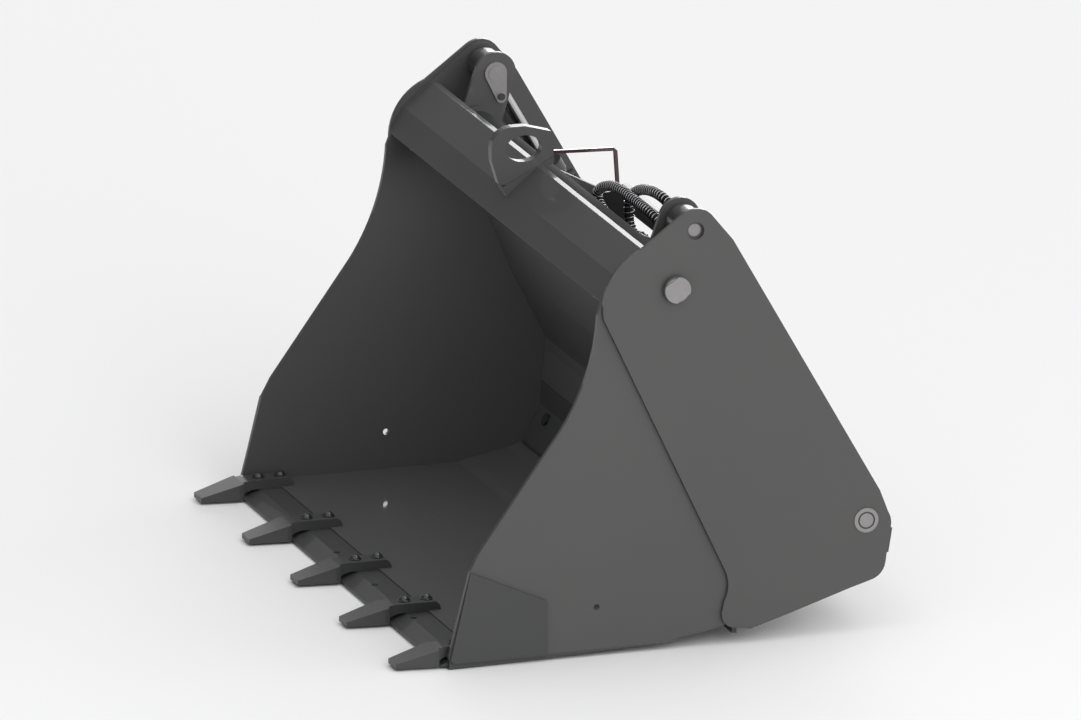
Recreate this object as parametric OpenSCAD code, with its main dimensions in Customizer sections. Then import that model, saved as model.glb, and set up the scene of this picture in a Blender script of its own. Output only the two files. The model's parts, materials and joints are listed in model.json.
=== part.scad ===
// Four-in-one loader bucket: a fixed rear half with a hinged front jaw.
// Millimetres. X runs across, the teeth point toward -Y, +Z is up, ground is z = 0.

/* [Overall] */
// Width over the outer cheek plates
width = 1650; // [1500:10:1900]
// Thickness of the outer cheek plates
cheek_t = 9; // [6:1:12]
// Thickness of the jaw side plates
side_t = 12; // [8:1:14]
// Running gap between a cheek and the jaw side plate
jaw_gap = 1; // [0.5:0.5:3]

/* [Pins] */
// Diameter of the two pivot pins
pivot_d = 60; // [50:2:70]
// Diameter of the upper cylinder pins on the jaw
top_pin_d = 31; // [26:1:36]
// Diameter of the lower cylinder pins on the frame
low_pin_d = 35; // [28:1:44]
// Radial play of a pin in its bore
pin_play = 0.05; // [0.02:0.01:0.1]

/* [Jaw] */
// Thickness of the jaw floor plate
floor_t = 12; // [8:1:16]
// Number of teeth
tooth_count = 5; // [3:1:7]
// Spacing of the teeth
tooth_pitch = 380; // [200:10:390]
// Width of a tooth at the tip
tooth_w = 58; // [40:2:80]
// Thickness of a tooth tip
tip_t = 12; // [6:1:18]
// Thickness of the plates of the jaw cross beam
beam_t = 10; // [6:1:14]
// Thickness of the plate that closes the cross beam
back_t = 8; // [6:1:12]
// Thickness of the jaw clevis ears
ear_t = 12; // [8:1:16]
// Thickness of the corner wear plates
wear_t = 8; // [4:1:9]
// Thickness of the centre lug
lug_t = 25; // [16:1:40]

/* [Cylinders] */
// Outside diameter of a barrel
barrel_d = 75; // [66:1:84]
// Inside diameter of a barrel
barrel_bore_d = 62; // [50:1:64]
// Diameter of a piston rod
rod_d = 30; // [22:1:36]
// Width of the eyes at both ends
eye_w = 60; // [40:2:80]

/* [Frame] */
// Thickness of the moldboard
board_t = 10; // [6:1:14]
// Thickness of the rear blade
blade_t = 12; // [8:1:16]
// Height of the ring round each pivot pin
boss_t = 14; // [8:1:20]
// Outside diameter of the torsion tube on the pivot line
tube_d = 102; // [80:2:104]
// Thickness of the inner clevis walls
wall_t = 12; // [8:1:16]
// Thickness of the hitch brackets
bracket_t = 24; // [16:2:40]
// Distance between the centres of the hitch brackets
bracket_pitch = 600; // [500:20:700]
// Diameter of the lower hitch bores
hitch_bore_d = 40; // [30:2:50]
// Diameter of the hoses
hose_d = 25; // [16:1:26]

/* [Hidden] */
$fn = 48;
half = width / 2;
cheek_in = half - cheek_t;
side_out = cheek_in - jaw_gap;
side_in = side_out - side_t;
board_half = side_in - 3;
ear_out = side_in - 97;
ear_in = ear_out - ear_t;
wall_out = ear_in - 6;
wall_in = wall_out - wall_t;
cyl_x = (ear_out + side_in) / 2;
pivot = [71, 902];
top_pin = [121, 1041];
low_pin = [555, 281];
hook = [412, 636];
hitch_pin = [572, 438];
cyl_len = norm(top_pin - low_pin);
cyl_dir = (top_pin - low_pin) / cyl_len;
cyl_tilt = atan2(top_pin[0] - low_pin[0], top_pin[1] - low_pin[1]);
gland_end = cyl_len - 300;
eye_neck = 70;
board = [[57, 845], [195, 511], [273, 354], [283, 330], [284, 300], [275, 219]];
blade = [[274.9, 217.3], [273, 160], [250, 120], [226, 75], [222, 22]];
beam = [[-112, 879], [-77, 941], [-7, 1000], [24, 1000]];
belly = [[238.5, 38.4], [286, 46], [362, 69], [515, 118], [566, 133]];
hose_a_pts = [
  [136, 205, 798], [136, 205, 812], [122, 190, 842], [100, 165, 868], [74, 150, 881],
  [21, 150, 892], [-2, 150, 911], [29, 150, 937], [97, 150, 960], [172, 150, 970],
  [323, 150, 972], [398, 150, 971], [470, 160, 955], [545, 205, 910], [590, 250, 830],
  [610, 285, 720], [610, 290, 662], [610, 290, 648]
];
hose_b_pts = [
  [262, 205, 798], [262, 205, 820], [252, 192, 856], [230, 182, 866], [190, 180, 858],
  [159, 180, 876], [151, 180, 911], [159, 180, 943], [212, 180, 975], [287, 180, 997],
  [362, 180, 1007],
  [430, 185, 1002], [520, 210, 965], [595, 250, 880], [640, 285, 760],
  [645, 290, 664], [645, 290, 648]
];

// Points of an arc about c from angle a0 to a1
function arc(c, r, a0, a1, n) = [
  for (i = [0:n]) let (a = a0 + (a1 - a0) * i / n) [c[0] + r * cos(a), c[1] + r * sin(a)]
];

function unit(v) = v / norm(v);
function turned(v) = [-v[1], v[0]];

// One corner of a line moved sideways by t
function shifted(p, i, t) = let (
  a = i == 0 ? unit(p[1] - p[0]) : unit(p[i] - p[i - 1]),
  b = i == len(p) - 1 ? a : unit(p[i + 1] - p[i]),
  n = unit(turned(a) + turned(b))
) p[i] + n * t / (n * turned(a));

// Bent strip of thickness t along a line of corners
function strip(p, t) = concat(p, [for (i = [len(p) - 1:-1:0]) shifted(p, i, t)]);

// Point of a smooth curve through four neighbours
function curve(a, b, c, d, t) = 0.5 * (2 * b + (c - a) * t + (2 * a - 5 * b + 4 * c - d) * t * t
  + (3 * b - a - 3 * c + d) * t * t * t);

function route(p, steps) = let (
  q = concat([2 * p[0] - p[1]], p, [2 * p[len(p) - 1] - p[len(p) - 2]])
) concat([for (i = [1:len(q) - 3]) for (k = [0:steps - 1])
  curve(q[i - 1], q[i], q[i + 1], q[i + 2], k / steps)], [p[len(p) - 1]]);

function heading(p, i) = unit(p[min(i + 1, len(p) - 1)] - p[max(i - 1, 0)]);

// Side profile in (y, z) given thickness t from x
module plate(x, t) {
  translate([x, 0, 0]) rotate([90, 0, 90]) linear_extrude(t) children();
}

// Round bar along X
module pin_x(x0, x1, at, d) {
  translate([x0, at[0], at[1]]) rotate([0, 90, 0]) cylinder(h = x1 - x0, d = d);
}

// Round bar between two points
module bar(a, b, d) {
  v = b - a;
  translate(a) rotate([0, acos(v[2] / norm(v)), atan2(v[1], v[0])]) cylinder(h = norm(v), d = d);
}

module sided(s) {
  if (s > 0) children();
  else mirror([1, 0, 0]) children();
}

module disc(at, d) {
  translate(at) circle(d = d);
}

// Places a part along the axis of the closed cylinder, foot at the lower pin
module on_cylinder() {
  translate([cyl_x, low_pin[0], low_pin[1]]) rotate([-cyl_tilt, 0, 0]) children();
}

module tube(p, d, sides, level) {
  n = len(p);
  pts = [for (i = [0:n - 1]) let (
    h = heading(p, i), u = unit(cross(h, level)), v = cross(h, u)
  ) for (k = [0:sides - 1]) p[i] + d / 2 * (u * cos(k * 360 / sides) + v * sin(k * 360 / sides))];
  skin = [for (i = [0:n - 2]) for (k = [0:sides - 1]) let (m = (k + 1) % sides)
    [i * sides + k, (i + 1) * sides + k, (i + 1) * sides + m, i * sides + m]];
  caps = [[for (k = [0:sides - 1]) k], [for (k = [sides - 1:-1:0]) (n - 1) * sides + k]];
  polyhedron(points = pts, faces = concat(skin, caps), convexity = 8);
}

// Rear half

module cheek_shape() {
  polygon(concat(
    arc([118, 151], 87, 25, -28, 8),
    arc([225, 78], 36.5, 160, 268, 8),
    [[261, 36], [286, 43], [362, 66], [515, 115], [560, 128]],
    arc([556, 178], 49, -70, -10, 6),
    arc([567, 270], 52, -20, 32, 6),
    [[590, 353], [216, 1011]],
    arc(top_pin, 55, 45, 127.5, 8),
    arc([37, 866], 150, 112, 190, 12)
  ));
}

module cheek(s) {
  color([0.33, 0.33, 0.33]) sided(s) plate(cheek_in, cheek_t) difference() {
    cheek_shape();
    disc(pivot, pivot_d + 2 * pin_play);
    disc(low_pin, low_pin_d + 2 * pin_play);
    disc(top_pin, 43);
  }
}

module inner_wall(s) {
  across = atan2(low_pin[1] - pivot[1], low_pin[0] - pivot[0]) + 90;
  color([0.3, 0.3, 0.3]) sided(s) plate(wall_in, wall_t) difference() {
    polygon(concat(
      [for (i = [0:len(board) - 1]) shifted(board, i, board_t)],
      arc(low_pin, 50, -100, across, 8),
      arc(pivot, 62, across, 240, 14)
    ));
    disc(pivot, pivot_d + 2 * pin_play);
    disc(low_pin, low_pin_d + 2 * pin_play);
    disc([330, 470], 110);
  }
}

module moldboard() {
  color([0.36, 0.37, 0.36]) difference() {
    plate(-board_half, 2 * board_half) polygon(strip(board, board_t));
    for (s = [-1, 1]) translate([s > 0 ? wall_out + 2 : -board_half - 1, 0, 820])
      cube([board_half - wall_out - 1, 200, 100]);
  }
}

module rear_blade() {
  color([0.27, 0.27, 0.27]) plate(-board_half, 2 * board_half) polygon(strip(blade, blade_t));
}

module blade_bolts() {
  n = unit([-(blade[1][1] - blade[2][1]), blade[1][0] - blade[2][0]]);
  mid = (blade[1] + blade[2]) / 2;
  color([0.2, 0.2, 0.2]) for (x = [-5:2:5]) bar(
    [x * 144, mid[0], mid[1]],
    [x * 144, mid[0] + 7 * n[0], mid[1] + 7 * n[1]],
    30
  );
}

module belly_plate() {
  color([0.25, 0.25, 0.25]) plate(-cheek_in, 2 * cheek_in) polygon(strip(belly, 8));
}

module heel_bar() {
  color([0.22, 0.22, 0.22]) plate(-650, 1300)
    polygon([[238, 0], [296, 0], [296, 49], [286, 46], [238, 38.3]]);
}

module rear_tie() {
  color([0.24, 0.24, 0.24]) plate(-cheek_in, 2 * cheek_in)
    polygon([[600, 193], [615, 193], [625, 254], [604, 254]]);
}

module pivot_tube() {
  color([0.3, 0.3, 0.3]) difference() {
    pin_x(-wall_in, wall_in, pivot, tube_d);
    pin_x(-wall_in - 1, wall_in + 1, pivot, tube_d - 24);
  }
}

module hitch_bracket(s) {
  color([0.34, 0.31, 0.31]) sided(s) {
    plate(bracket_pitch / 2 - bracket_t / 2, bracket_t) difference() {
      union() {
        polygon(concat(
          [[90, 900], [125, 911], [253, 844], [318, 762], [326, 716], [362, 650], [500, 600]],
          [[606, 476], [614, 424], [560, 262], [300, 236]],
          [for (i = [len(board) - 1:-1:0]) shifted(board, i, board_t)]
        ));
        disc(hook, 92);
      }
      disc(pivot, tube_d);
      disc(hook, 52);
      translate(hook - [26, 0]) square([52, 80]);
      disc(hitch_pin, hitch_bore_d);
      disc([330, 520], 120);
      disc([450, 400], 90);
    }
    for (x = [bracket_pitch / 2 - bracket_t / 2 - 8, bracket_pitch / 2 + bracket_t / 2])
      difference() {
        pin_x(x, x + 8, hitch_pin, 72);
        pin_x(x - 1, x + 9, hitch_pin, hitch_bore_d);
      }
  }
}

module hitch_plate() {
  w = (bracket_pitch - bracket_t) / 2;
  color([0.3, 0.33, 0.3])
    translate([0, 274, 0]) rotate([90, 0, 0]) linear_extrude(12) difference() {
      polygon([
        [-w, 560], [w, 560], [w, 832], [w - 58, 850], [140, 893],
        [-140, 893], [58 - w, 850], [-w, 832]
      ]);
      translate([-107, 640]) square([214, 195]);
    }
}

module pivot_pin(s) {
  color([0.55, 0.55, 0.54]) sided(s) {
    pin_x(wall_in, half + boss_t, pivot, pivot_d);
    intersection() {
      pin_x(half + boss_t, half + boss_t + 3, pivot, pivot_d + 5);
      translate([half, pivot[0], pivot[1]]) rotate([34, 0, 0])
        translate([-1, -40, -26]) cube([40, 80, 52]);
    }
  }
}

module pivot_boss(s) {
  color([0.33, 0.33, 0.33]) sided(s) difference() {
    pin_x(half, half + boss_t - 0.5, pivot, pivot_d + 8);
    pin_x(half - 1, half + boss_t, pivot, pivot_d + 2 * pin_play);
  }
}

module low_pin_part(s) {
  color([0.55, 0.55, 0.54]) sided(s) {
    pin_x(wall_in - 6, half + 3, low_pin, low_pin_d);
    difference() {
      pin_x(half, half + 3, low_pin, 61);
      pin_x(half - 1, half + 4, low_pin, low_pin_d + 8);
    }
  }
}

module hose_shelves() {
  color([0.3, 0.3, 0.3]) {
    translate([112, 185, 750]) cube([(bracket_pitch - bracket_t) / 2 - 112, 77, 10]);
    translate([585, 250, 600]) cube([wall_in - 585, 80, 10]);
  }
}

module hose_fittings() {
  feet = [[136, 205, 760], [262, 205, 760], [610, 290, 610], [645, 290, 610]];
  color([0.6, 0.6, 0.58]) for (p = feet)
    translate(p) {
      cylinder(h = 14, d = 30, $fn = 6);
      translate([0, 0, 14]) cylinder(h = 25, d = hose_d + 3);
    }
}

module hose_a() {
  color([0.1, 0.1, 0.1]) tube(route(hose_a_pts, 4), hose_d, 10, [0, 1, 0]);
}

module hose_b() {
  color([0.1, 0.1, 0.1]) tube(route(hose_b_pts, 4), hose_d, 10, [0, 1, 0]);
}

// Front jaw

module side_plate(s) {
  color([0.35, 0.34, 0.34]) sided(s) plate(side_in, side_t) difference() {
    union() {
      polygon(concat(
        [[-497, 18], [-500, 31], [-446, 240], [-421, 286]],
        arc([-680, 879], 557, -34.1, -3, 10),
        [[-112, 880], [-80, 940], [-20, 992], [88, 1078], top_pin, [166, 1020]],
        [[140, 860], [160, 600], [200, 300], [216, 200], [216, 80], [203, 50]],
        [[187, 44], [137, 35], [86, 27], [60, 18]]
      ));
      disc(top_pin, 100);
    }
    disc(pivot, pivot_d + 2 * pin_play);
    disc(top_pin, top_pin_d + 2 * pin_play);
    disc([-126, 123], 15);
  }
}

module floor_plate() {
  color([0.27, 0.28, 0.28]) plate(-side_in, 2 * side_in)
    polygon([[-418, 18], [166, 18], [172, 24], [168, 18 + floor_t], [-418, 18 + floor_t]]);
}

module cutting_edge() {
  color([0.3, 0.3, 0.3]) plate(-side_in, 2 * side_in)
    polygon([[-517, 6], [-430, 6], [-418, 18], [-418, 26], [-472, 26], [-517, 9]]);
}

module tooth() {
  w = tooth_w / 2;
  top = 18 + floor_t;
  intersection() {
    plate(-60, 120) polygon([
      [-625, 6], [-518, 6], [-518, 16], [-508, 23], [-494, 27.5], [-480, 28.5], [-468, 26.3],
      [-418, 26.3], [-418, top + 0.3], [-385, top + 0.3], [-388, 42], [-398, 50.5], [-505, 50.5],
      [-519, 48], [-625, 6 + tip_t]
    ]);
    linear_extrude(80) polygon([
      [-w, -625], [w, -625], [w + 12, -530], [w + 12, -519], [w, -519], [w, -385],
      [-w, -385], [-w, -519], [-w - 12, -519], [-w - 12, -530]
    ]);
  }
}

module tooth_set() {
  color([0.4, 0.4, 0.39]) for (k = [0:tooth_count - 1])
    translate([(k - (tooth_count - 1) / 2) * tooth_pitch, 0, 0]) tooth();
}

module tooth_bolts() {
  color([0.2, 0.2, 0.2]) for (k = [0:tooth_count - 1]) for (y = [-469, -413])
    translate([(k - (tooth_count - 1) / 2) * tooth_pitch, y, 50.5]) rotate_extrude()
      polygon(concat([[0, 0], [15.5, 0], [15.5, 2.5]], arc([0, -2.6], 14.6, 22.6, 90, 6)));
}

module corner_wear(s) {
  color([0.36, 0.35, 0.35]) sided(s) plate(side_out, wear_t)
    polygon([[-497, 26], [-445, 238], [-256, 153], [-252, 146], [-252, 16], [-490, 16]]);
}

module runners() {
  color([0.3, 0.3, 0.3]) for (s = [-1, 1]) sided(s) plate(side_in, side_t)
    polygon([[-500, 0], [-497, 18], [60, 18]]);
}

module cross_beam() {
  color([0.37, 0.37, 0.37]) {
    difference() {
      plate(-side_in, 2 * side_in) polygon(strip(beam, -beam_t));
      for (s = [-1, 1]) translate([s * 656 - 32, 14, 980]) cube([64, 20, 30]);
    }
    for (s = [-1, 1]) sided(s) translate([517, 24, 990]) cube([107, 36, 10]);
  }
}

module beam_back() {
  a = shifted(beam, 0, -beam_t);
  rise = beam[2][1] - beam_t - a[1];
  color([0.3, 0.3, 0.3]) plate(-side_in, 2 * side_in) polygon([
    a, a + [rise, rise], a + [rise + back_t * sqrt(2), rise], a + back_t * sqrt(0.5) * [1, -1]
  ]);
}

module ear(s) {
  low = shifted(beam, 0, -beam_t) + back_t * sqrt(0.5) * [1, -1];
  up = 972 - low[1];
  color([0.35, 0.35, 0.35]) sided(s) plate(ear_in, ear_t) difference() {
    union() {
      polygon([
        [69, 1050], [42, 972], low + [up, up], low + [1, 1], low + [2, -6], [50, 846], [128, 885],
        [153, 969], [172, 1045], top_pin
      ]);
      disc(pivot, 120);
      disc(top_pin, 104);
    }
    disc(pivot, pivot_d + 2 * pin_play);
    disc(top_pin, top_pin_d + 2 * pin_play);
  }
}

module lug() {
  color([0.36, 0.36, 0.36]) plate(-lug_t / 2, lug_t) difference() {
    polygon(concat(
      [[-88, 960.5], [-106, 964], [-124, 1024]],
      arc([-72, 1052], 52, 180, 92, 8),
      [[-37, 1104], [27, 1086], [32, 1078], [35, 1022.5]]
    ));
    translate([-42, 1048]) scale([46, 33]) circle(r = 1);
  }
}

module lug_pad() {
  color([0.36, 0.36, 0.36]) plate(-30, 60)
    polygon([[-100, 954], [35, 1022], [35, 1008], [24, 1000], [-7, 1000], [-77, 941], [-84, 929]]);
}

module indicator_rod() {
  color([0.75, 0.6, 0.6]) tube(
    [[0, 35, 1030], [0, 189, 1024.2], [0, 193, 1022.6], [0, 195.5, 1019], [0, 202, 922]],
    8.5, 12, [1, 0, 0]
  );
}

module top_pin_part(s) {
  color([0.62, 0.62, 0.6]) sided(s) pin_x(ear_in, side_out, top_pin, top_pin_d);
}

module keeper(s) {
  color([0.52, 0.52, 0.52]) sided(s) plate(ear_in - 5, 5) hull() {
    disc(top_pin, 56);
    disc([135, 978], 26);
  }
}

module keeper_bolts() {
  color([0.4, 0.4, 0.4]) for (s = [-1, 1]) sided(s)
    pin_x(ear_in - 12, ear_in - 5, [134, 982], 17);
}

// Cylinders

module barrel(s) {
  color([0.2, 0.2, 0.2]) sided(s) on_cylinder() difference() {
    union() {
      translate([-eye_w / 2, 0, 0]) rotate([0, 90, 0]) cylinder(h = eye_w, d = 92);
      translate([0, 0, 30]) cylinder(h = gland_end - 60, d = barrel_d);
      for (z = [70, gland_end - 60]) translate([0, 0, z]) rotate([-90, 0, 0])
        cylinder(h = barrel_d / 2 + 14, d = 26);
    }
    translate([0, 0, 62]) cylinder(h = gland_end, d = barrel_bore_d);
    translate([-eye_w, 0, 0]) rotate([0, 90, 0])
      cylinder(h = 2 * eye_w, d = low_pin_d + 2 * pin_play);
  }
}

module gland(s) {
  color([0.15, 0.15, 0.15]) sided(s) on_cylinder() difference() {
    translate([0, 0, gland_end - 30]) cylinder(h = 30, d = barrel_d + 8);
    translate([0, 0, gland_end - 40]) cylinder(h = 50, d = rod_d + 2 * pin_play);
  }
}

module rod(s) {
  color([0.8, 0.8, 0.82]) sided(s) on_cylinder()
    translate([0, 0, gland_end - 90]) cylinder(h = cyl_len - eye_neck - gland_end + 90, d = rod_d);
}

module rod_eye(s) {
  color([0.2, 0.2, 0.2]) sided(s) on_cylinder() difference() {
    union() {
      translate([0, 0, cyl_len - eye_neck]) cylinder(h = eye_neck - 30, d = rod_d + 16);
      translate([-eye_w / 2, 0, cyl_len]) rotate([0, 90, 0]) cylinder(h = eye_w, d = 84);
    }
    translate([-eye_w, 0, cyl_len]) rotate([0, 90, 0])
      cylinder(h = 2 * eye_w, d = top_pin_d + 25);
  }
}

module piston(s) {
  color([0.5, 0.5, 0.5]) sided(s) on_cylinder()
    translate([0, 0, gland_end - 130]) cylinder(h = 40, d = barrel_bore_d - 2 * pin_play);
}

cheek(1);  // cheek_left
cheek(-1);  // cheek_right
inner_wall(1);  // inner_wall_left
inner_wall(-1);  // inner_wall_right
moldboard();
rear_blade();
blade_bolts();
belly_plate();
heel_bar();
rear_tie();
pivot_tube();
hitch_bracket(1);  // hitch_bracket_left
hitch_bracket(-1);  // hitch_bracket_right
hitch_plate();
pivot_pin(1);  // pivot_pin_left
pivot_pin(-1);  // pivot_pin_right
pivot_boss(1);  // pivot_boss_left
pivot_boss(-1);  // pivot_boss_right
low_pin_part(1);  // low_pin_left
low_pin_part(-1);  // low_pin_right
hose_shelves();
hose_fittings();
hose_a();
hose_b();
side_plate(1);  // side_plate_left
side_plate(-1);  // side_plate_right
floor_plate();
cutting_edge();
tooth_set();
tooth_bolts();
corner_wear(1);  // corner_wear_left
corner_wear(-1);  // corner_wear_right
runners();
cross_beam();
beam_back();
ear(1);  // ear_left
ear(-1);  // ear_right
lug();
lug_pad();
indicator_rod();
top_pin_part(1);  // top_pin_left
top_pin_part(-1);  // top_pin_right
keeper(1);  // keeper_left
keeper(-1);  // keeper_right
keeper_bolts();
barrel(1);  // barrel_left
barrel(-1);  // barrel_right
gland(1);  // gland_left
gland(-1);  // gland_right
rod(1);  // rod_left
rod(-1);  // rod_right
rod_eye(1);  // rod_eye_left
rod_eye(-1);  // rod_eye_right
piston(1);  // piston_left
piston(-1);  // piston_right
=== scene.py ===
"""Looks of a four-in-one loader bucket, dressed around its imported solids.

The solids give every plate, pin and cylinder its place and size. This script adds the
finishes, the small made pieces (bent plates, hose guards, plugs) and the studio.
"""

import json
import logging
import math
from collections.abc import Sequence
from dataclasses import dataclass, field
from enum import Enum

import bmesh
import bpy
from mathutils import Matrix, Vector


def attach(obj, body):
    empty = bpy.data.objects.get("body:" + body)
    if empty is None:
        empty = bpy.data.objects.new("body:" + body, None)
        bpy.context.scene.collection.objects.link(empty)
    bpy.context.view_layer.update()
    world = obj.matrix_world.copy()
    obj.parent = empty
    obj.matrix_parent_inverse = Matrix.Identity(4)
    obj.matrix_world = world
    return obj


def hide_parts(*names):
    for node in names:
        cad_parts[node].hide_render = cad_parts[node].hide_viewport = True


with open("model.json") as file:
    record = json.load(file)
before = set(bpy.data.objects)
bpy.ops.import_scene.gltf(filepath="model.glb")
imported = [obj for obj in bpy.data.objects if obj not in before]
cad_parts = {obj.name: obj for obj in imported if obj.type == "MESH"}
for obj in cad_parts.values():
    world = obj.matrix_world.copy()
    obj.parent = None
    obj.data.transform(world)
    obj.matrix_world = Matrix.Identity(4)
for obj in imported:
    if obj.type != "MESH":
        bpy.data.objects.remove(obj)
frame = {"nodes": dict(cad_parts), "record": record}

log = logging.getLogger("bucket")

MM = 0.001

# Places on the bucket in mm: x of the faces, y and z of the pins
SIDE_INNER = 803
SIDE_OUTER = 815
PIVOT = (71, 902)
TOP_PIN = (121, 1041)
KEEPER_FACE = 687.5
PIN_END_FACE = 689.2

# Places of the flush plugs in mm: their x, and the y and both ends' z that they share
PLUG_X = (-149, 148, 447)
PLUG_Y = -467
PLUG_Z = (25, 26.5)

# Sizes in metres
PLUG_RADIUS = 0.008
EDGE_BREAK = 0.0012

# How finely round shapes are divided, and the angle from which an edge is sharp
CIRCLE_STEPS = 47
ROUND_SIDES = 20
WIRE_SIDES = 8
SHARP_ANGLE = math.radians(40)

# The solid that takes a dull, darker copy of the paint in place of its slot's paint; the darker
# colour is painted shade over the tube
SHADE_PAINTED_NODE = "pivot_tube"


class Body(Enum):
    """The bodies that the made pieces move with."""

    FRAME = "frame"
    JAW = "jaw"


class Slot(Enum):
    """The record's finish slots."""

    PAINT = "paint"
    EDGE = "edge"
    FASTENER = "fastener"
    PIN = "pin"
    HOSE = "hose"
    MARKER = "marker"
    CYLINDER = "cylinder"
    CHROME = "chrome"


class Value:
    """A number socket of a material that can be used in sums."""

    def __init__(self, recipe: "Recipe", socket: bpy.types.NodeSocket) -> None:
        """Wraps one output socket.

        Args:
            recipe: The material recipe that the socket belongs to.
            socket: The output socket.
        """
        self.recipe = recipe
        self.socket = socket

    def _combine(self, operation: str, other: "Value | float") -> "Value":
        """Adds one Math node.

        Args:
            operation: The node's operation.
            other: The second value.

        Returns:
            The result as a new value.
        """
        return self.recipe.node("ShaderNodeMath", {"operation": operation}, {0: self, 1: other})

    def __add__(self, other: "Value | float") -> "Value":
        """Adds a value.

        Args:
            other: The value to add.

        Returns:
            The sum.
        """
        return self._combine("ADD", other)

    def __mul__(self, other: "Value | float") -> "Value":
        """Multiplies by a value.

        Args:
            other: The factor.

        Returns:
            The product.
        """
        return self._combine("MULTIPLY", other)


class Recipe:
    """The node tree of one material."""

    def __init__(self, name: str) -> None:
        """Starts an empty material.

        Args:
            name: The material's name.
        """
        self.material = bpy.data.materials.new(name)
        self.material.use_nodes = True
        self.tree = self.material.node_tree
        self.tree.nodes.clear()

    def node(
        self,
        kind: str,
        settings: dict[str, object] | None = None,
        sockets: dict[int | str, object] | None = None,
        out: int | str = 0,
    ) -> Value:
        """Adds any node.

        Args:
            kind: The node's type name.
            settings: Properties of the node, set first.
            sockets: Values, or links, of its input sockets.
            out: The output socket to give back.

        Returns:
            The chosen output.
        """
        made = self.tree.nodes.new(kind)
        for name, value in (settings or {}).items():
            setattr(made, name, value)
        for name, value in (sockets or {}).items():
            if isinstance(value, Value):
                self.tree.links.new(value.socket, made.inputs[name])
            else:
                made.inputs[name].default_value = value
        return Value(self, made.outputs[out])

    def place(self) -> Value:
        """Reads the place on the object.

        Returns:
            The object's own coordinates.
        """
        return self.node("ShaderNodeTexCoord", out="Object")

    def noise(self, scale: float, detail: float) -> Value:
        """Cloudy noise between 0 and 1.

        Args:
            scale: Cells per metre.
            detail: Octaves.

        Returns:
            The noise value.
        """
        sockets = {"Vector": self.place(), "Scale": scale, "Detail": detail}
        return self.node("ShaderNodeTexNoise", None, sockets, "Fac")

    def blend(self, amount: Value, first: Sequence[float], second: Sequence[float]) -> Value:
        """Mixes two colours.

        Args:
            amount: How much of the second colour shows.
            first: The first colour.
            second: The second colour.

        Returns:
            The mixed colour.
        """
        sockets = {0: amount, 6: (*first, 1), 7: (*second, 1)}
        return self.node("ShaderNodeMix", {"data_type": "RGBA"}, sockets, 2)

    def bump(self, height: Value, strength: float, depth: float) -> Value:
        """A normal from a height.

        Args:
            height: Height between 0 and 1.
            strength: How much of it shows.
            depth: The height of 1, in metres.

        Returns:
            The normal.
        """
        sockets = {"Strength": strength, "Distance": depth, "Height": height}
        return self.node("ShaderNodeBump", None, sockets)

    def surface(self, sockets: dict[str, object]) -> bpy.types.Material:
        """Closes the tree with one surface shader.

        Args:
            sockets: Values, or links, of the shader's inputs.

        Returns:
            The finished material.
        """
        shader = self.node("ShaderNodeBsdfPrincipled", None, sockets)
        end = self.tree.nodes.new("ShaderNodeOutputMaterial")
        self.tree.links.new(shader.socket, end.inputs["Surface"])
        return self.material


@dataclass(frozen=True)
class SatinPaint:
    """Smooth satin paint on steel plate."""

    name: str
    colour: tuple[float, float, float]
    shade: tuple[float, float, float]
    roughness: float = 0.5
    coat: float = 0.3
    coat_roughness: float = 0.06

    def material(self) -> bpy.types.Material:
        """Builds the paint.

        Returns:
            The material.
        """
        recipe = Recipe(self.name)
        cloud = recipe.noise(2.2, 3)
        grain = recipe.noise(900, 2)
        return recipe.surface(
            {
                "Base Color": recipe.blend(cloud, self.colour, self.shade),
                "Roughness": cloud * 0.08 + (self.roughness - 0.04),
                "Coat Weight": self.coat,
                "Coat Roughness": self.coat_roughness,
                "Specular IOR Level": 0.2,
                "Normal": recipe.bump(grain, 0.12, 0.0002),
            }
        )


@dataclass(frozen=True)
class TurnedSteel:
    """Bare turned steel with fine rings."""

    name: str
    colour: tuple[float, float, float]
    roughness: float = 0.35
    metallic: float = 1.0

    def material(self) -> bpy.types.Material:
        """Builds the steel.

        Returns:
            The material.
        """
        recipe = Recipe(self.name)
        cloud = recipe.noise(60, 3)
        fine = recipe.noise(1500, 2)
        dark = tuple(0.8 * c for c in self.colour)
        return recipe.surface(
            {
                "Base Color": recipe.blend(cloud, self.colour, dark),
                "Roughness": cloud * 0.12 + (self.roughness - 0.06),
                "Metallic": self.metallic,
                "Normal": recipe.bump(fine, 0.1, 0.0001),
            }
        )


@dataclass(frozen=True)
class Rubber:
    """Black hose rubber."""

    name: str
    colour: tuple[float, float, float] = (0.012, 0.012, 0.013)
    roughness: float = 0.8

    def material(self) -> bpy.types.Material:
        """Builds the rubber.

        Returns:
            The material.
        """
        recipe = Recipe(self.name)
        fine = recipe.noise(700, 3)
        return recipe.surface(
            {
                "Base Color": (*self.colour, 1),
                "Roughness": fine * 0.2 + (self.roughness - 0.1),
                "Specular IOR Level": 0.12,
                "Normal": recipe.bump(fine, 0.2, 0.0003),
            }
        )


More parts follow.
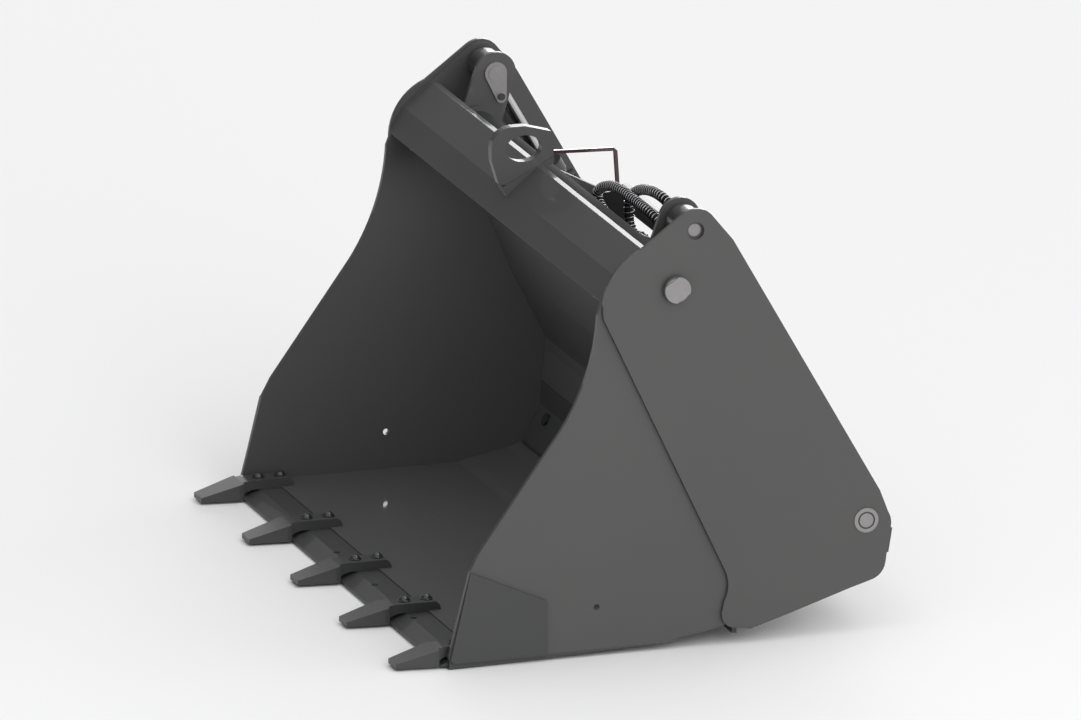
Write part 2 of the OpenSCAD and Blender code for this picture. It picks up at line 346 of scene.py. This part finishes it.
@dataclass
class Studio:
    """Pale floor, soft light and the camera of the photograph."""

    camera_at: tuple[float, float, float] = (66.35, -22.19, 20.30)
    looks_at: tuple[float, float, float] = (0.026, -0.004, 0.517)
    lens: float = 999.07
    floor_half: float = 300.0
    floor_white: float = 0.82
    sky_towards: tuple[float, float, float] = (0.55, 0.75, 0.36)
    sky_dark: float = -0.15
    sky_bright: float = 1.6
    clip: tuple[float, float] = (1.0, 500.0)

    def build(self) -> None:
        """Makes the floor, the lights, the sky and the camera."""
        bpy.context.scene.view_settings.view_transform = "Standard"
        self._floor()
        self._sky()
        self._lights()
        self._camera()

    def _floor(self) -> None:
        """Makes the plain floor."""
        shape = bmesh.new()
        bmesh.ops.create_grid(shape, x_segments=1, y_segments=1, size=self.floor_half)
        mesh = bpy.data.meshes.new("floor")
        shape.to_mesh(mesh)
        shape.free()
        floor = bpy.data.objects.new("floor", mesh)
        bpy.context.scene.collection.objects.link(floor)
        recipe = Recipe("floor")
        white = self.floor_white
        mesh.materials.append(
            recipe.surface({"Base Color": (white, white, white, 1), "Roughness": 0.9})
        )

    def _sky(self) -> None:
        """Gives a pale sky, brighter behind the hitch than in front of the teeth."""
        world = bpy.data.worlds.new("studio")
        bpy.context.scene.world = world
        world.use_nodes = True
        nodes, links = world.node_tree.nodes, world.node_tree.links
        towards = nodes.new("ShaderNodeVectorMath")
        towards.operation = "DOT_PRODUCT"
        towards.inputs[1].default_value = self.sky_towards
        scale = nodes.new("ShaderNodeMapRange")
        scale.inputs["From Min"].default_value = -1.0
        scale.inputs["To Min"].default_value = self.sky_dark
        scale.inputs["To Max"].default_value = self.sky_bright
        links.new(nodes.new("ShaderNodeTexCoord").outputs["Generated"], towards.inputs[0])
        links.new(towards.outputs["Value"], scale.inputs["Value"])
        links.new(scale.outputs["Result"], nodes["Background"].inputs["Strength"])
        nodes["Background"].inputs["Color"].default_value = (1, 1, 1, 1)

    def _lights(self) -> None:
        """Hangs soft lights beside the camera, above, in the bowl and far behind."""
        self._panel(
            "side_light", at=(9.0, 1.5, 4.0), aim=(0, 0, 0.5), size=(5.0, 5.0), power=205
        )
        self._panel(
            "top_light", at=(0.9, -1.6, 4.5), aim=(0, 0, 0.3), size=(3.0, 3.0), power=15
        )
        self._panel(
            "bowl_light", at=(0, -0.1, 0.82), aim=(0, 0.05, 0.0), size=(1.3, 0.25), power=2.6
        )
        self._panel(
            "rear_light", at=(-37.1, 15.0, 7.5), aim=(0, 0, 7.5), size=(24.0, 12.0), power=6000
        )

    @staticmethod
    def _panel(
        name: str,
        at: tuple[float, float, float],
        aim: tuple[float, float, float],
        size: tuple[float, float],
        power: float,
    ) -> None:
        """Hangs a flat light panel.

        Args:
            name: The light's name.
            at: Its place.
            aim: The point it faces.
            size: Its width and height in metres.
            power: Its power in watts.
        """
        data = bpy.data.lights.new(name, "AREA")
        data.shape = "RECTANGLE"
        data.size, data.size_y = size
        data.energy = power
        panel = bpy.data.objects.new(name, data)
        panel.visible_camera = False
        bpy.context.scene.collection.objects.link(panel)
        panel.location = at
        panel.rotation_mode = "QUATERNION"
        panel.rotation_quaternion = (Vector(aim) - Vector(at)).to_track_quat("-Z", "Y")

    def _camera(self) -> None:
        """Sets the camera."""
        data = bpy.data.cameras.new("camera")
        data.lens = self.lens
        data.clip_start, data.clip_end = self.clip
        camera = bpy.data.objects.new("camera", data)
        bpy.context.scene.collection.objects.link(camera)
        camera.location = self.camera_at
        camera.rotation_mode = "QUATERNION"
        sight = Vector(self.looks_at) - Vector(self.camera_at)
        camera.rotation_quaternion = sight.to_track_quat("-Z", "Y")
        bpy.context.scene.camera = camera


@dataclass
class Finishes:
    """The finish of every slot."""

    made: dict[Slot, bpy.types.Material] = field(default_factory=dict)
    # The dull paint of the pivot tube, its darker colour painted shade
    dull_shade_paint: bpy.types.Material | None = None

    def build(self) -> None:
        """Makes one material for each slot, and a dull copy darkened as painted shade."""
        recipes = {
            Slot.PAINT: SatinPaint("charcoal_paint", (0.072, 0.072, 0.071), (0.063, 0.064, 0.063)),
            Slot.EDGE: SatinPaint(
                "wear_steel_paint", (0.05, 0.051, 0.05), (0.043, 0.045, 0.044), 0.48
            ),
            Slot.FASTENER: SatinPaint(
                "fastener_paint", (0.02, 0.022, 0.022), (0.014, 0.016, 0.016), 0.25, 0.8, 0.08
            ),
            Slot.PIN: TurnedSteel("pin_steel", (0.27, 0.262, 0.262), 0.45, 0.5),
            Slot.HOSE: Rubber("hose_rubber"),
            Slot.MARKER: SatinPaint(
                "marker_paint", (0.05, 0.018, 0.024), (0.042, 0.016, 0.021), 0.35, 0.9, 0.1
            ),
            Slot.CYLINDER: SatinPaint(
                "cylinder_paint", (0.03, 0.031, 0.031), (0.026, 0.027, 0.027), 0.3
            ),
            Slot.CHROME: TurnedSteel("hard_chrome", (0.42, 0.42, 0.43), 0.2),
        }
        self.made = {slot: recipe.material() for slot, recipe in recipes.items()}
        # A rough, uncoated copy of the paint whose darker colour is painted shade on the pivot
        # tube
        dull_shade = SatinPaint("tube_dull_shade", (0.03, 0.031, 0.031), (0.026, 0.027, 0.027), 0.9, 0.0)
        self.dull_shade_paint = dull_shade.material()

    def dress(self) -> None:
        """Gives each solid of the frame its finish, and the painted solids slightly broken edges.
        """
        for part in frame["record"]["subparts"]:
            node = frame["nodes"][part["node"]]
            node.data.materials.clear()
            # The pivot tube takes the dull paint with painted shade
            dull_shade = part["node"] == SHADE_PAINTED_NODE
            node.data.materials.append(
                self.dull_shade_paint if dull_shade else self.made[Slot(part["material_slot"])]
            )
            if part["material_slot"] in (Slot.PAINT.value, Slot.EDGE.value):
                self.break_edges(node)

    @staticmethod
    def break_edges(node: bpy.types.Object) -> None:
        """Rounds the sharp edges of a plate a little.

        Args:
            node: The plate, a solid or a made piece.
        """
        bevel = node.modifiers.new("edges", "BEVEL")
        bevel.width = EDGE_BREAK
        bevel.segments = 2
        bevel.limit_method = "ANGLE"
        bevel.angle_limit = SHARP_ANGLE
        bevel.use_clamp_overlap = True
        bevel.harden_normals = True


@dataclass
class Workshop:
    """Makes the small pieces and puts them on their bodies."""

    finishes: Finishes
    count: int = 0

    def add(
        self, piece: bpy.types.Object, body: Body, slot: Slot, replaced: str | None = None
    ) -> None:
        """Links a piece, finishes it and lets it ride on a body.

        Args:
            piece: The new object.
            body: The body that it moves with.
            slot: The finish that it takes.
            replaced: The solid that it stands for, if any.
        """
        bpy.context.scene.collection.objects.link(piece)
        piece.data.materials.append(self.finishes.made[slot])
        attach(piece, body.value)
        if replaced:
            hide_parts(replaced)
        self.count += 1

    @staticmethod
    def cable(name: str, points: Sequence[Vector], radius: float, sides: int) -> bpy.types.Object:
        """A round bar along a line.

        Args:
            name: The piece's name.
            points: Points of the line, in metres.
            radius: The bar's radius in metres.
            sides: Sides of the cross-section, a multiple of four.

        Returns:
            The curve object, with closed ends.
        """
        shape = bpy.data.curves.new(name, "CURVE")
        shape.dimensions = "3D"
        shape.bevel_depth = 1.0
        shape.bevel_resolution = max(sides // 4 - 1, 0)
        shape.use_fill_caps = True
        shape.twist_mode = "MINIMUM"
        line = shape.splines.new("POLY")
        line.points.add(len(points) - 1)
        for spot, at in zip(line.points, points):
            spot.co = (*at, 1)
            spot.radius = radius
        line.use_smooth = True
        return bpy.data.objects.new(name, shape)


@dataclass(frozen=True)
class Route:
    """A smooth line through given points, the same as the solids' hoses follow."""

    points: tuple[tuple[float, float, float], ...]

    def line(self, steps: int) -> list[Vector]:
        """Points along the smooth line.

        Args:
            steps: Points between two given ones.

        Returns:
            The points, in metres.
        """
        knots = [Vector(p) * MM for p in self.points]
        knots = [knots[0] * 2 - knots[1], *knots, knots[-1] * 2 - knots[-2]]
        made = []
        for a, b, c, d in zip(knots, knots[1:], knots[2:], knots[3:]):
            for step in range(steps):
                t = step / steps
                bend = a * 2 - b * 5 + c * 4 - d
                twist = b * 3 - a - c * 3 + d
                made.append(0.5 * (b * 2 + (c - a) * t + bend * t * t + twist * t * t * t))
        made.append(knots[-2])
        return made


def even_steps(line: Sequence[Vector], step: float) -> list[Vector]:
    """Places points at even distances along a line.

    Args:
        line: The line's points.
        step: The distance in metres.

    Returns:
        The evenly spaced points.
    """
    made = [line[0].copy()]
    left = step
    for a, b in zip(line, line[1:]):
        run = (b - a).length
        done = 0.0
        while run - done >= left:
            done += left
            made.append(a.lerp(b, done / run))
            left = step
        left -= run - done
    return made


@dataclass(frozen=True)
class GuardedHose:
    """A rubber hose with a steel wire wound round it."""

    node: str
    route: Route
    radius: float = 0.0113
    wire: float = 0.0012
    pitch: float = 0.0142
    turn_points: int = 16
    smooth_steps: int = 10
    ring_step: float = 0.004

    def make(self, shop: Workshop) -> None:
        """Makes the hose and its wire.

        Args:
            shop: The workshop that takes the pieces.
        """
        line = even_steps(self.route.line(self.smooth_steps), self.ring_step)
        hose = shop.cable(f"{self.node}_rubber", line, self.radius, ROUND_SIDES)
        shop.add(hose, Body.FRAME, Slot.HOSE, self.node)
        coil = self._coil(even_steps(line, self.pitch / self.turn_points))
        wire = shop.cable(f"{self.node}_guard", coil, self.wire, WIRE_SIDES)
        shop.add(wire, Body.FRAME, Slot.CHROME)

    def _coil(self, line: Sequence[Vector]) -> list[Vector]:
        """Winds a helix round a line.

        Args:
            line: Closely spaced points of the line.

        Returns:
            The helix points.
        """
        made = []
        side = Vector((1, 0, 0))
        for i, at in enumerate(line):
            ahead = (line[min(i + 1, len(line) - 1)] - line[max(i - 1, 0)]).normalized()
            side = (side - ahead * side.dot(ahead)).normalized()
            angle = 2 * math.pi * i / self.turn_points
            spoke = side * math.cos(angle) + ahead.cross(side) * math.sin(angle)
            made.append(at + spoke * (self.radius + self.wire))
        return made


def thickened(
    name: str, shape: bmesh.types.BMesh, faces: Sequence[bmesh.types.BMFace], along: float
) -> bpy.types.Object:
    """Draws flat faces out along x into a closed solid.

    Args:
        name: The new object's name.
        shape: The mesh that holds the faces, which is freed here.
        faces: The flat faces.
        along: How far they are drawn out, in mm.

    Returns:
        The mesh object.
    """
    drawn = bmesh.ops.extrude_face_region(shape, geom=faces)
    corners = [v for v in drawn["geom"] if isinstance(v, bmesh.types.BMVert)]
    bmesh.ops.translate(shape, verts=corners, vec=(along * MM, 0, 0))
    bmesh.ops.recalc_face_normals(shape, faces=shape.faces)
    mesh = bpy.data.meshes.new(name)
    shape.to_mesh(mesh)
    shape.free()
    return bpy.data.objects.new(name, mesh)


@dataclass(frozen=True)
class BentPlate:
    """A plate with a drawn side profile that runs across the bucket."""

    name: str
    profile: tuple[tuple[float, float], ...]
    half_width: float

    def make(self) -> bpy.types.Object:
        """Builds the closed plate.

        Returns:
            The mesh object.
        """
        shape = bmesh.new()
        loop = [shape.verts.new(Vector((-self.half_width, y, z)) * MM) for y, z in self.profile]
        return thickened(self.name, shape, [shape.faces.new(loop)], 2 * self.half_width)


@dataclass(frozen=True)
class HoledPlate:
    """A flat plate with a drawn outline and round holes."""

    name: str
    outline: tuple[tuple[float, float], ...]
    holes: tuple[tuple[float, float, float], ...]
    inner: float
    outer: float

    def make(self) -> bpy.types.Object:
        """Builds the closed plate.

        Returns:
            The mesh object.
        """
        shape = bmesh.new()
        circles = (round_points(*hole, 0, 360, CIRCLE_STEPS) for hole in self.holes)
        for loop in (self.outline, *circles):
            corners = [shape.verts.new(Vector((self.inner, y, z)) * MM) for y, z in loop]
            for one, other in zip(corners, corners[1:] + corners[:1]):
                shape.edges.new((one, other))
        filled = bmesh.ops.triangle_fill(shape, use_beauty=True, edges=shape.edges)
        faces = [f for f in filled["geom"] if isinstance(f, bmesh.types.BMFace)]
        bmesh.ops.recalc_face_normals(shape, faces=faces)
        return thickened(self.name, shape, faces, self.outer - self.inner)


def round_points(
    y: float, z: float, radius: float, start: float, end: float, steps: int
) -> tuple[tuple[float, float], ...]:
    """Points along an arc.

    Args:
        y: The centre's y in mm.
        z: The centre's z in mm.
        radius: The radius in mm.
        start: The first angle in degrees.
        end: The last angle in degrees; 360 leaves out the closing point.
        steps: The number of steps.

    Returns:
        The points from start to end.
    """
    gaps = steps + 1 if end - start == 360 else steps
    share = (end - start) / gaps
    turns = [math.radians(start + share * i) for i in range(steps + 1)]
    return tuple((y + radius * math.cos(a), z + radius * math.sin(a)) for a in turns)


HOSE_A = Route(
    (
        (136, 205, 798), (136, 205, 812), (122, 190, 842), (100, 165, 868), (74, 150, 881),
        (21, 150, 892), (-2, 150, 911), (29, 150, 937), (97, 150, 960), (172, 150, 970),
        (323, 150, 972), (398, 150, 971), (470, 160, 955), (545, 205, 910), (590, 250, 830),
        (610, 285, 720), (610, 290, 662), (610, 290, 648),
    )
)
HOSE_B = Route(
    (
        (262, 205, 798), (262, 205, 820), (252, 192, 856), (230, 182, 866), (190, 180, 858),
        (159, 180, 876), (151, 180, 911), (159, 180, 943), (212, 180, 975), (287, 180, 997),
        (362, 180, 1007), (430, 185, 1002), (520, 210, 965), (595, 250, 880), (640, 285, 760),
        (645, 290, 664), (645, 290, 648),
    )
)


def make_floor(shop: Workshop) -> None:
    """Makes the jaw floor with its rear end bent up under the blade.

    Args:
        shop: The workshop that takes the piece.
    """
    under = ((-418, 18), (60, 18), (86, 25), (137, 35), (187, 44), (203, 50), (221, 57))
    over = ((221, 68), (201, 61), (186, 55.5), (135, 46.5), (84, 37), (58, 30), (-418, 30))
    plate = BentPlate("jaw_floor", under + over, SIDE_INNER).make()
    shop.add(plate, Body.JAW, Slot.PAINT, "floor_plate")
    shop.finishes.break_edges(plate)


def make_beam(shop: Workshop) -> None:
    """Makes the cross beam's folded front plate with its narrow flange, and its back.

    Args:
        shop: The workshop that takes the piece.
    """
    front = ((-112, 879), (-77, 941), (-7, 1000), (9, 1000))
    behind = ((9, 990), (-3.35, 990), (-69.2, 934.5), (-103.3, 874.1))
    back = ((-103.3, 874.1), (5, 982.4), (5, 989.9), (9, 989.9), (9, 975), (-97.6, 868.4))
    for node, profile in (("cross_beam", front + behind), ("beam_back", back)):
        plate = BentPlate(f"{node}_drawn", profile, SIDE_INNER).make()
        shop.add(plate, Body.JAW, Slot.PAINT, node)
        shop.finishes.break_edges(plate)


def make_sides(shop: Workshop) -> None:
    """Makes the jaw's side plates with their rear edges behind the moldboard.

    Args:
        shop: The workshop that takes the pieces.
    """
    front = ((60, 18), (-497, 18), (-500, 31), (-446, 240), (-421, 286))
    curve = round_points(-680, 879, 557, -34.1, -3, 14)
    top = ((-112, 880), (-80, 940), (-20, 992)) + round_points(*TOP_PIN, 50, 131.7, -25, 16)
    rear = ((150, 860), (214, 600), (296, 330), (297, 200), (270, 120), (246, 62))
    foot = ((215, 52), (203, 50), (187, 44), (137, 35), (86, 27))
    outline = front + curve + top + rear + foot
    holes = ((*PIVOT, 30.1), (*TOP_PIN, 15.6), (-126, 123, 7.5))
    for side, node in ((1, "side_plate_left"), (-1, "side_plate_right")):
        plate = HoledPlate(f"{node}_drawn", outline, holes, side * SIDE_INNER, side * SIDE_OUTER)
        shop.add(plate.make(), Body.JAW, Slot.PAINT, node)


def make_pin_ends(shop: Workshop) -> None:
    """Makes the ends of the upper pins, which stand a little out of their keepers.

    Args:
        shop: The workshop that takes the pieces.
    """
    edge = round_points(*TOP_PIN, 19, 0, 360, CIRCLE_STEPS)
    for side, name in ((1, "top_pin_end_left"), (-1, "top_pin_end_right")):
        end = HoledPlate(name, edge, (), side * KEEPER_FACE, side * PIN_END_FACE)
        shop.add(end.make(), Body.JAW, Slot.PIN)


def make_lug_trim(shop: Workshop) -> None:
    """Makes the slim pad under the lug and the square indicator rod behind it.

    Args:
        shop: The workshop that takes the pieces.
    """
    pad = ((-100, 954), (35, 1022), (35, 1008), (24, 1000), (-7, 1000), (-77, 941), (-84, 929))
    shop.add(BentPlate("lug_pad_drawn", pad, 13.5).make(), Body.JAW, Slot.PAINT, "lug_pad")
    over = ((35, 1034.2), (190, 1028.4), (199.8, 1020), (206.2, 922.3))
    under = ((197.8, 921.7), (191.4, 1016.5), (187.5, 1020), (35, 1025.8))
    rod = BentPlate("indicator_rod_drawn", over + under, 4.25).make()
    shop.add(rod, Body.JAW, Slot.MARKER, "indicator_rod")


def make_edge_plugs(shop: Workshop) -> None:
    """Makes the flush plugs in the cutting edge between the teeth.

    Args:
        shop: The workshop that takes the pieces.
    """
    for i, x in enumerate(PLUG_X):
        line = [Vector((x, PLUG_Y, z)) * MM for z in PLUG_Z]
        plug = shop.cable(f"edge_plug_{i}", line, PLUG_RADIUS, ROUND_SIDES)
        shop.add(plug, Body.JAW, Slot.FASTENER)


def make_hoses(shop: Workshop) -> None:
    """Makes both guarded hoses.

    Args:
        shop: The workshop that takes the pieces.
    """
    GuardedHose("hose_a", HOSE_A).make(shop)
    GuardedHose("hose_b", HOSE_B).make(shop)


def main() -> None:
    """Builds the finishes, the pieces and the studio in order."""
    logging.basicConfig(level=logging.INFO, format="%(name)s: %(message)s")
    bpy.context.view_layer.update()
    finishes = Finishes()
    finishes.build()
    finishes.dress()
    shop = Workshop(finishes)
    make_floor(shop)
    make_beam(shop)
    make_sides(shop)
    make_pin_ends(shop)
    make_lug_trim(shop)
    make_edge_plugs(shop)
    make_hoses(shop)
    Studio().build()


if __name__ == "__main__":
    main()
